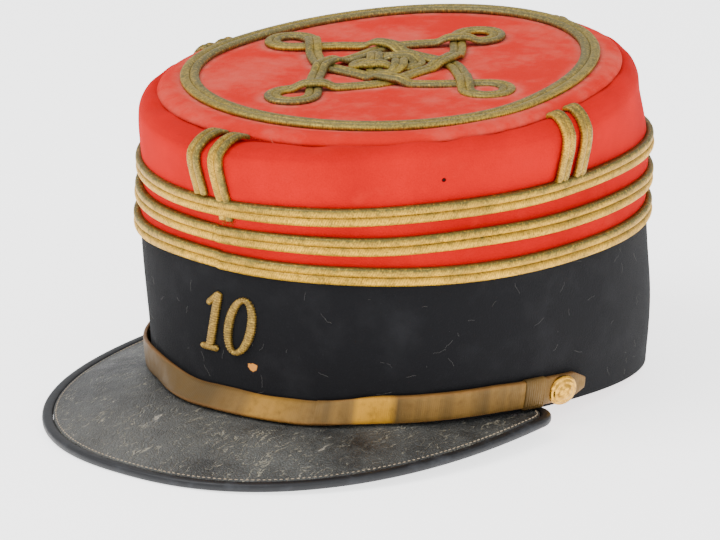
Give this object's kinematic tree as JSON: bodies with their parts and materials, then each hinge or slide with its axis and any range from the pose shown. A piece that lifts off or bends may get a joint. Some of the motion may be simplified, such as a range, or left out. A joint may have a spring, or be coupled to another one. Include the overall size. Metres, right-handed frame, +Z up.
{
  "type": "kepi cap",
  "caption": "Stiff cloth cap with a sloping oval crown, ringed and knotted gold braid, a leather peak and a gold lace chin strap on brass buttons.",
  "frame": {"origin": "centre of the cap's footprint, on the floor that it stands on", "axes": "+Z up, -Y towards the front of the peak, +X towards the wearer's left"},
  "size_m": [0.1788, 0.2464, 0.1246],
  "materials": {
    "band_wool": "felted navy-black wool cloth",
    "crown_cloth": "napped madder red wool cloth",
    "disc_cloth": "faded and dusty madder red wool cloth",
    "gold_braid": "gold thread braid, two round cords wide",
    "tarnished_braid": "tarnished gold thread braid, two round cords wide",
    "gold_thread": "padded gold bullion embroidery",
    "peak_leather": "black grained leather, worn",
    "binding_leather": "black leather binding, polished by wear",
    "strap_lace": "gold lace over leather, rubbed",
    "button_brass": "stamped brass, polished high spots"
  },
  "bodies": {
    "root": {"band": "band_wool", "crown_side": "crown_cloth", "crown_top": "disc_cloth", "braid_ring_lower": "gold_braid", "braid_ring_middle": "gold_braid", "braid_ring_upper": "gold_braid", "top_ring_braid": "tarnished_braid", "knot_lengthwise": "tarnished_braid", "knot_crosswise": "tarnished_braid", "knot_link_1": "tarnished_braid", "knot_link_2": "tarnished_braid", "numeral_one": "gold_thread", "numeral_zero": "gold_thread", "peak": "peak_leather", "peak_binding": "binding_leather", "chin_strap": "strap_lace", "strap_slide_left": "strap_lace", "strap_slide_right": "strap_lace", "button_left": "button_brass", "button_right": "button_brass", "upright_braid_front_1": "gold_braid", "upright_braid_front_2": "gold_braid", "upright_braid_left_1": "gold_braid", "upright_braid_left_2": "gold_braid", "upright_braid_back_1": "gold_braid", "upright_braid_back_2": "gold_braid", "upright_braid_right_1": "gold_braid", "upright_braid_right_2": "gold_braid"}
  },
  "joints": []
}
